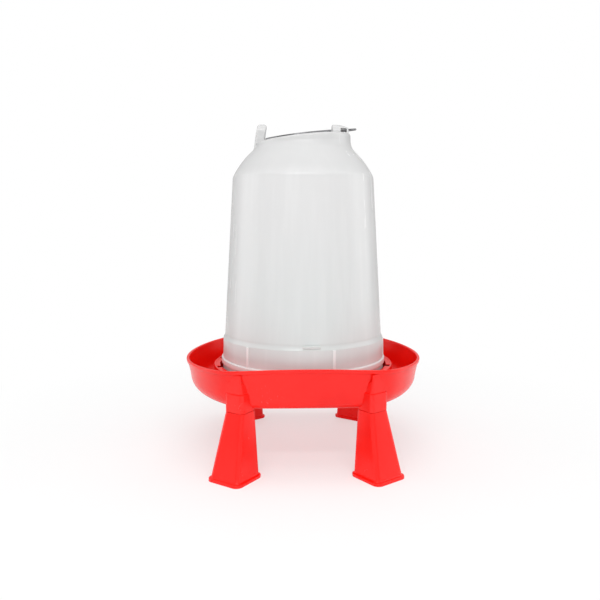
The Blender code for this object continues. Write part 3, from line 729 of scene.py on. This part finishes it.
class TankForm:
    """The tank's outline: radii by height, and its slanted top."""

    def __init__(self, tank, layout):
        self.tank = tank
        self.layout = layout
        self.top = layout.top_z - layout.tank_z

    def skirt(self, height):
        return self.tank.bottom_radius - self.tank.skirt_draft * height

    def side(self, height):
        return self.tank.wall_radius + (self.tank.wall_height - height) * tan(radians(self.tank.draft))

    def arc(self, start, radius, first, last, steps):
        """Points of an upward arc whose tangent turns from one angle from upright to another."""
        points = []
        for step in range(1, steps + 1):
            angle = radians(first + (last - first) * step / steps)
            inward = radius * abs(cos(radians(first)) - cos(angle))
            upward = radius * abs(sin(angle) - sin(radians(first)))
            points.append((start[0] - inward, start[1] + upward, degrees(angle)))
        return points

    def upper(self):
        """(radius, height, angle from upright) from the skirt's step over the shoulder to the top."""
        tank = self.tank
        layout = self.layout
        step_top = tank.skirt_height + tank.step_length
        points = []
        levels = 12
        for level in range(levels + 1):
            height = step_top + (tank.wall_height - step_top) * level / levels
            points.append((self.side(height), height, tank.draft))
        points += self.arc(points[-1], layout.crease, tank.draft, layout.start, 8)
        points += self.arc(points[-1], layout.shoulder, layout.start, layout.end, 10)
        points += self.arc(points[-1], layout.fillet, layout.end, layout.neck_draft, 10)
        neck = tank.neck_radius
        rim = ((0.12, 2.2, 10), (0.4, 1.5, 18), (0.9, 0.7, 40), (1.8, 0.2, 65), (3.2, 0.0, 84))
        points += [(neck - inward, self.top - drop, angle) for inward, drop, angle in rim]
        points[-1] = (neck - 3.2, self.top + tank.crown * 0.12, 84)
        for share in (0.85, 0.7, 0.55, 0.4, 0.25, 0.1):
            points.append((neck * share, self.top + tank.crown * (1 - share**2), 90))
        return points

    def ring(self, radius, height, lift_height):
        """A level of the tank. Near the top it slants up towards +X."""
        slant_start = self.top - 19.5
        lift = clamp((lift_height - slant_start) / (self.top - slant_start)) ** 2
        ring = []
        for step in range(self.tank.divisions):
            place = polar(radius, 360 * step / self.tank.divisions, self.layout.tank_z + height)
            place.z += lift * self.tank.slope * place.x
            ring.append(place)
        return ring

    def outside(self):
        tank = self.tank
        bead = tank.bead_height
        bead_top = bead + tank.bead_length
        out = tank.bead_out
        lower = [(self.skirt(0) - 1.0, 0), (self.skirt(0) - 0.5, 0.13), (self.skirt(0) - 0.13, 0.5)]
        lower += [(self.skirt(1), 1), (self.skirt(bead - 0.6), bead - 0.6)]
        edge = ((0.2, 0), (out - 0.35, 0.8), (out, 1.6))
        lower += [(self.skirt(bead) + reach, bead + rise) for reach, rise in edge]
        lower += [(self.skirt(bead_top) + reach, bead_top - drop) for reach, drop in reversed(edge)]
        lower.append((self.skirt(bead_top + 0.6), bead_top + 0.6))
        start = tank.skirt_height
        lower += [(self.skirt(start - 0.8), start - 0.8), (self.skirt(start) - 0.1, start)]
        wall = self.side(start + tank.step_length)
        gap = self.skirt(start) - wall
        for share, rise in ((0.22, 0.12), (0.45, 0.3), (0.68, 0.5), (0.86, 0.7), (0.96, 0.86)):
            lower.append((self.skirt(start) - gap * share, start + tank.step_length * rise))
        rings = [self.ring(radius, height, height) for radius, height in lower]
        rings += [self.ring(radius, height, height) for radius, height, _ in self.upper()]
        return loft("milky_tank", rings)

    def cavity(self):
        """The inside of the tank, open below."""
        wall = self.tank.wall
        start = self.tank.skirt_height
        rings = [
            self.ring(self.skirt(0) - wall, -2, 0),
            self.ring(self.skirt(start) - wall, start - wall, 0),
        ]
        for radius, height, angle in self.upper():
            inner = radius - wall * cos(radians(angle))
            rings.append(self.ring(inner, height - wall * sin(radians(angle)), height))
        return loft("cavity", rings)


def rod(layout, name, start, end, radius, divisions=32):
    """A round bar along the hinge's axis."""
    angles = [2 * pi * step / divisions for step in range(divisions)]
    rings = []
    for along in (start, end):
        rings.append([layout.hinge @ Vector((along, radius * cos(a), radius * sin(a))) for a in angles])
    return loft(name, rings)


def ear_section(layout, x, rise, half_depth, flare, lean):
    """An arch across the ear, its foot spread outward by the flare and its top leaning over."""
    axis_z = layout.axis_z
    foot_z = axis_z - 21
    flare_start = axis_z - 3
    spring_z = axis_z + rise - half_depth * 0.85
    side = [(half_depth, foot_z)]
    side += [(half_depth, foot_z + (flare_start - foot_z) * step / 6) for step in range(1, 7)]
    steps = 28
    for step in range(steps + 1):
        angle = pi * step / steps
        side.append((half_depth * cos(angle), spring_z + (axis_z + rise - spring_z) * sin(angle)))
    side += [(-half_depth, foot_z + (flare_start - foot_z) * step / 6) for step in range(6, -1, -1)]
    section = []
    for y, z in side:
        spread = flare * (max(flare_start - z, 0) / (flare_start - foot_z)) ** 1.5
        shift = lean * max(z - flare_start, 0) / 14.2
        section.append((x + spread + shift, y, z))
    return section


def make_ears(layout):
    """Two ears beside the top, by x, rise over the axis, half depth, flare and lean."""
    half = EAR_HALF_DEPTH
    left = (
        (-62.0, 12.0, half - 1.2, -3.0, 2.8), (-61.7, 12.9, half - 0.6, -2.9, 2.8),
        (-60.8, 13.8, half, -2.4, 2.8), (-58.0, 14.1, half, -1.4, 2.8), (-53.5, 14.2, half, 0, 2.8),
        (-51.2, 13.0, half, 0, 2.8), (-50.35, 12.2, half - 0.5, 0, 2.8),
        (-50.0, 11.2, half - 1.2, 0, 2.8),
    )
    right = (
        (37.5, 13.0, half - 1.2, 0, 0), (37.85, 13.75, half - 0.5, 0, 0), (38.7, 14.2, half, 0, 0),
        (44.0, 14.1, half, 0, 0), (48.5, 13.9, half, 0, 0), (53.5, 12.6, half, 1.1, 0),
        (57.3, 11.0, half, 2.4, 0), (58.2, 10.5, half - 0.5, 2.8, 0), (58.5, 10.0, half - 1.2, 3.0, 0),
    )
    ears = []
    for name, stations in (("left_ear", left), ("right_ear", right)):
        ears.append(loft(name, [ear_section(layout, *station) for station in stations]))
    return ears


def make_skirt_features(form):
    """Upright ribs above the bead and a short bar at the front."""
    tank = form.tank
    low = form.layout.tank_z
    bead_top = tank.bead_height + tank.bead_length
    made = []
    top = bead_top + RIB_HEIGHT
    for index in range(RIB_COUNT):
        azimuth = RIB_AZIMUTH + 360 / RIB_COUNT * index
        rings = []
        for height, out in ((bead_top - 2, 1.0), (top - 1, 1.0), (top - 0.3, 0.7), (top, 0.2)):
            inner = form.skirt(height) - 1
            half = (out + 1) / 2
            width = 2 - (1 - out) * 0.6
            ring = rounded_square(azimuth, inner + half, half, width, low + height, half * 0.6, 4)
            rings.append(ring)
        made.append(loft("rib", rings))
    bar_top = BAR_RISE + BAR_HEIGHT
    wall = form.side(bar_top)
    half_angle = degrees(BAR_LENGTH / 2 / wall)
    bar = sector(
        "bar", wall - 1, wall + BAR_OUT, low + BAR_RISE, low + bar_top, BAR_AZIMUTH, half_angle, 12
    )
    made.append(soften(bar, 0.35))
    return made


def make_lugs(tank, pan, layout):
    high = layout.collar_z - pan.hook_thickness - 0.8
    inner = tank.bottom_radius - tank.wall
    outer = tank.bottom_radius + LUG_OUT
    lugs = []
    for azimuth in LUG_AZIMUTHS:
        lug = sector("lug", inner, outer, high - LUG_HEIGHT, high, azimuth, LUG_HALF_ANGLE, 20)
        lugs.append(soften(lug, 0.6))
    return lugs


def make_tank_cuts(form):
    """Outlets near the bottom, the window in the right ear and the holes that the wire turns in."""
    layout = form.layout
    cuts = [form.cavity()]
    angles = [2 * pi * (step + 0.5) / 32 for step in range(32)]
    for side in (1, -1):
        rings = []
        for along in (form.tank.bottom_radius - 6, form.tank.bottom_radius + 6):
            ring = []
            for angle in angles:
                height = layout.tank_z + OUTLET_RISE + OUTLET_RADIUS * sin(angle)
                ring.append((side * along, OUTLET_RADIUS * cos(angle), height))
            rings.append(ring)
        cuts.append(loft("outlet", rings))
    middle = Vector((WINDOW_X, 0, layout.axis_z + tan(layout.tilt) * WINDOW_X))
    reach = Vector(WINDOW_HALF)
    cuts.append(soften(block("window", middle - reach, middle + reach), 0.8, 3))
    cuts.append(rod(layout, "right_hole", 43.0, 64.5, PIN_HOLE / 2))
    cuts.append(rod(layout, "left_hole", -59.0, -47.0, PIN_HOLE / 2))
    return cuts


class DRINKER_OT_tank(bpy.types.Operator):
    """Builds the milky tank with its bead, shoulder, slanted top and ears."""

    bl_idname = "drinker.tank"
    bl_label = "Tank"
    bl_options = {"REGISTER", "UNDO"}

    def execute(self, context):
        tank = context.scene.drinker_tank
        layout = Layout(context.scene)
        form = TankForm(tank, layout)
        joins = make_ears(layout) + make_skirt_features(form)
        joins += make_lugs(tank, context.scene.drinker_pan, layout)
        cuts = make_tank_cuts(form)
        made = form.outside()
        shape_with(made, joins, cuts)
        surface = milky_plastic("milky_plastic", tank, layout)
        finish_piece(made, surface, "tank", "tank_body", 28)
        return {"FINISHED"}


def rounded_path(corners, steps=10):
    """A path through (x, y, radius) corners, each replaced by an arc."""
    path = [Vector(corners[0][:2])]
    for before, corner, after in zip(corners, corners[1:], corners[2:]):
        point = Vector(corner[:2])
        back = (Vector(before[:2]) - point).normalized()
        ahead = (Vector(after[:2]) - point).normalized()
        half = acos(clamp(back.dot(ahead), -1, 1)) / 2
        middle = point + (back + ahead).normalized() * (corner[2] / sin(half))
        first = point + back * (corner[2] / tan(half)) - middle
        last = point + ahead * (corner[2] / tan(half)) - middle
        turn = first.angle_signed(last)
        for step in range(steps + 1):
            path.append(middle + Matrix.Rotation(-turn * step / steps, 2) @ first)
    path.append(Vector(corners[-1][:2]))
    return path


def bail_path(bail):
    """The wire's middle line. X runs along the hinge's axis, Y from the axis out to the grip."""
    join_x = bail.radius * cos(radians(ARCH_END))
    join_y = bail.radius * sin(radians(ARCH_END))
    right = [(RIGHT_PIN_END, 0, 0), (bail.hook_tip, 0, 2.2), (join_x + 6, join_y - 7, 12)]
    left = [(LEFT_ARM, 24, 6), (LEFT_ARM, 0, 2.6), (LEFT_PIN_END, 0, 0)]
    path = rounded_path([*right, (join_x, join_y, 0)])
    steps = 48
    for step in range(1, steps):
        angle = radians(ARCH_END + (180 - 2 * ARCH_END) * step / steps)
        path.append(Vector((bail.radius * cos(angle), bail.radius * sin(angle))))
    return path + rounded_path([(-join_x, join_y, 0), *left])


def make_wire(bail, layout, divisions=20):
    """A round wire swept along its path, its cut ends slightly rounded."""
    path = bail_path(bail)
    radius = bail.wire / 2
    swing = Matrix.Rotation(radians(bail.rest), 4, "X")
    place = layout.hinge @ swing
    rings = []

    def ring_at(point, tangent, size):
        side = Vector((tangent.y, -tangent.x, 0))
        up = Vector((0, 0, 1))
        ring = []
        for step in range(divisions):
            angle = 2 * pi * step / divisions
            offset = side * (size * cos(angle)) + up * (size * sin(angle))
            ring.append(place @ (Vector((point.x, point.y, 0)) + offset))
        return ring

    first = (path[1] - path[0]).normalized()
    last = (path[-1] - path[-2]).normalized()
    for inset, size in ((0, 0.82), (0.1, 0.94), (0.35, 1)):
        rings.append(ring_at(path[0] + first * inset, first, radius * size))
    for before, point, after in zip(path, path[1:], path[2:]):
        rings.append(ring_at(point, (after - before).normalized(), radius))
    for inset, size in ((0.35, 1), (0.1, 0.94), (0, 0.82)):
        rings.append(ring_at(path[-1] - last * inset, last, radius * size))
    return loft("wire_bail", rings)


class DRINKER_OT_bail(bpy.types.Operator):
    """Builds the bent wire that the drinker is carried by."""

    bl_idname = "drinker.bail"
    bl_label = "Bail"
    bl_options = {"REGISTER", "UNDO"}

    def execute(self, context):
        bail = context.scene.drinker_bail
        made = make_wire(bail, Layout(context.scene))
        surface = drawn_steel("steel_wire", bail.color)
        finish_piece(made, surface, "bail_handle", "bail", 60)
        return {"FINISHED"}


def make_leg(name, legs, layout, azimuth):
    """A hollow leg, open below, that leans out. Its spigot pushes into the pan's socket."""
    top_z = node_high(name) - legs.spigot + 0.2
    top = legs.top_size / 2
    foot = legs.foot_size / 2
    flange = legs.flange_size / 2
    spigot = top - legs.wall - LEG_GAP
    spigot_z = node_high(name)
    foot_radius = layout.leg_radius + legs.splay

    def level(half, height, corner):
        middle = foot_radius + (layout.leg_radius - foot_radius) * min(height / top_z, 1)
        return rounded_square(azimuth, middle, half, half, height, corner)

    inside = legs.corner - legs.wall
    rings = [
        level(spigot - legs.wall, spigot_z - legs.wall, 0.8),
        level(spigot - legs.wall, top_z, 0.8),
        level(top - legs.wall, top_z - legs.wall, inside),
        level(foot - legs.wall, 0.6, inside),
        level(foot - legs.wall + 0.6, 0, inside + 0.6),
    ]
    edge = [(0.7, 0), (0.2, 0.2), (0, 0.7)]
    edge += [
        (back, legs.flange_height - drop) for back, drop in ((0, 1.2), (0.2, 0.5), (0.7, 0.1), (1.2, 0))
    ]
    for back, height in edge:
        rings.append(level(flange - back, height, legs.foot_corner - back))
    for out, rise in ((1.3, 0.05), (0.75, 0.4), (0.35, 1.0), (0.1, 1.8)):
        rings.append(level(foot + out, legs.flange_height + rise, legs.corner + out))
    start = legs.flange_height + FLANGE_FILLET
    for share in (0, 0.12, 0.25, 0.4, 0.55, 0.7, 0.85):
        height = start + (top_z - start) * share
        rings.append(level(foot + (top - foot) * share, height, legs.corner))
    for back, drop in ((0, 0.5), (0.14, 0.16), (0.5, 0)):
        rings.append(level(top - back, top_z - drop, legs.corner - back))
    corner = inside - LEG_GAP
    for back, height in ((0, top_z), (0, spigot_z - 1.5), (0.35, spigot_z - 0.7), (1, spigot_z)):
        rings.append(level(spigot - back, height, corner))
    return loft(name.replace("leg_", "") + "_leg", rings)


class DRINKER_OT_legs(bpy.types.Operator):
    """Builds the four splayed legs."""

    bl_idname = "drinker.legs"
    bl_label = "Legs"
    bl_options = {"REGISTER", "UNDO"}

    def execute(self, context):
        legs = context.scene.drinker_legs
        color = context.scene.drinker_pan.color
        layout = Layout(context.scene)
        for index, (name, azimuth) in enumerate(leg_azimuths(layout).items()):
            made = make_leg(name, legs, layout, azimuth)
            surface = red_plastic("moulded_red_" + name, color, 2.0 + index)
            finish_piece(made, surface, name, "base", 40)
        return {"FINISHED"}


def make_floor():
    """A large flat sheet with rounded corners."""
    shape = bmesh.new()
    outline = rounded_square(0, 0, 3200, 3200, 0, 300, 12)
    shape.faces.new([shape.verts.new(point * MM) for point in outline])
    return object_from("floor", shape)


def floor_paint():
    """Pale matt paint that runs out into white far from the object, and clear from below."""
    made = Finish("pale_floor")
    x, y = made.axes()[:2]
    away = (x * x + y * y) ** 0.5
    clouds = made.noise(5.0, 3.0, 0.5)
    grain = made.noise(260.0, 2.0, 0.6)
    body = made.mix(clouds.band(0.3, 0.7) * 0.5, (0.90, 0.90, 0.90), (0.88, 0.88, 0.885))
    rough = 0.62 + clouds * 0.10 + grain * 0.05
    links = {"Base Color": body, "Roughness": rough, "Normal": made.bump(grain, 0.05, 0.0003)}
    made.finish(links, {"Specular IOR Level": 0.25})
    seen = made.node("ShaderNodeLightPath")
    glow = made.node("ShaderNodeEmission", None, {"Color": (1, 1, 1, 1), "Strength": 1.0})
    share = (0.5 + away.band(0.22, 0.62) * 0.5) * seen
    inputs = {0: share, 1: Value(made, made.shader.outputs[0]), 2: glow}
    top = made.node("ShaderNodeMixShader", None, inputs)
    clear = made.node("ShaderNodeBsdfTransparent", None, {"Color": (1, 1, 1, 1)})
    below = made.node("ShaderNodeNewGeometry", output="Backfacing")
    mixed = made.node("ShaderNodeMixShader", None, {0: below, 1: top, 2: clear})
    output = made.tree.nodes["Material Output"]
    made.tree.links.new(mixed.socket, output.inputs["Surface"])
    return made.surface


def add_light(name, place, target, size, power, mirrored=True):
    """A soft rectangular lamp aimed at a point, in millimetres."""
    lamp = bpy.data.lights.new(name, "AREA")
    lamp.shape = "RECTANGLE"
    lamp.size = size[0] * MM
    lamp.size_y = size[1] * MM
    lamp.energy = power
    made = bpy.data.objects.new(name, lamp)
    made.location = Vector(place) * MM
    aim = (Vector(target) - Vector(place)).to_track_quat("-Z", "Y")
    made.rotation_euler = aim.to_euler()
    made.visible_glossy = mirrored
    bpy.context.scene.collection.objects.link(made)


def light_world(strength):
    """An even sky that the camera sees as white."""
    world = bpy.data.worlds.new("studio")
    world.use_nodes = True
    bpy.context.scene.world = world
    nodes = world.node_tree.nodes
    links = world.node_tree.links
    sky = nodes["Background"]
    white = nodes.new("ShaderNodeBackground")
    for made, power in ((sky, strength), (white, 1.0)):
        made.inputs["Color"].default_value = (1, 1, 1, 1)
        made.inputs["Strength"].default_value = power
    seen = nodes.new("ShaderNodeLightPath")
    mixed = nodes.new("ShaderNodeMixShader")
    links.new(seen.outputs["Is Camera Ray"], mixed.inputs[0])
    links.new(sky.outputs[0], mixed.inputs[1])
    links.new(white.outputs[0], mixed.inputs[2])
    links.new(mixed.outputs[0], nodes["World Output"].inputs["Surface"])


class DRINKER_OT_stage(bpy.types.Operator):
    """Sets the floor, the lights, the sky and the camera of the photograph."""

    bl_idname = "drinker.stage"
    bl_label = "Stage"
    bl_options = {"REGISTER", "UNDO"}

    def execute(self, context):
        scene = context.scene
        stage = scene.drinker_stage
        floor = make_floor()
        floor.data.materials.append(floor_paint())
        middle = (0, 0, 200)
        add_light("key", (-60, -1150, 1180), (0, 0, 300), (1150, 170), stage.key)
        add_light("left", (-1350, 160, 480), middle, (900, 1100), stage.fill * 0.8)
        add_light("right", (1350, 120, 480), middle, (900, 1100), stage.fill * 0.8)
        add_light("front", (0, -1350, 480), middle, (1500, 900), stage.fill * 0.9, False)
        add_light("top", (0, -300, 1500), middle, (1100, 900), stage.fill * 1.5, False)
        add_light("back", (0, 1350, 620), middle, (1500, 900), stage.fill * 0.9, False)
        light_world(stage.sky)
        lens = bpy.data.cameras.new("camera")
        lens.lens = stage.lens
        lens.sensor_width = 36
        lens.clip_start = 0.01
        camera = bpy.data.objects.new("camera", lens)
        camera.location = Vector((-stage.side, -stage.distance, stage.height)) * MM
        camera.rotation_euler = (radians(90 - stage.pitch), 0, -radians(stage.heading))
        scene.collection.objects.link(camera)
        scene.camera = camera
        scene.view_settings.view_transform = "Standard"
        scene.view_settings.look = "None"
        return {"FINISHED"}


class DRINKER_PT_panel(bpy.types.Panel):
    """Sizes and buttons of the drinker."""

    bl_label = "Poultry drinker"
    bl_idname = "DRINKER_PT_panel"
    bl_space_type = "VIEW_3D"
    bl_region_type = "UI"
    bl_category = "Drinker"

    def draw(self, context):
        for key, settings in SETTINGS.items():
            box = self.layout.box()
            for name in settings.__annotations__:
                box.prop(getattr(context.scene, key), name)
            box.operator(key.replace("_", "."))


SETTINGS = {
    "drinker_stage": DrinkerStageSettings,
    "drinker_pan": DrinkerPanSettings,
    "drinker_tank": DrinkerTankSettings,
    "drinker_bail": DrinkerBailSettings,
    "drinker_legs": DrinkerLegSettings,
}
CLASSES = (
    *SETTINGS.values(), DRINKER_OT_stage, DRINKER_OT_pan, DRINKER_OT_tank, DRINKER_OT_bail,
    DRINKER_OT_legs, DRINKER_PT_panel,
)


def register():
    for made in CLASSES:
        bpy.utils.register_class(made)
    for name, settings in SETTINGS.items():
        setattr(bpy.types.Scene, name, PointerProperty(type=settings))


def unregister():
    for name in SETTINGS:
        delattr(bpy.types.Scene, name)
    for made in reversed(CLASSES):
        bpy.utils.unregister_class(made)


def main():
    register()
    bpy.ops.drinker.stage()
    bpy.ops.drinker.pan()
    bpy.ops.drinker.tank()
    bpy.ops.drinker.bail()
    bpy.ops.drinker.legs()


if __name__ == "__main__":
    main()
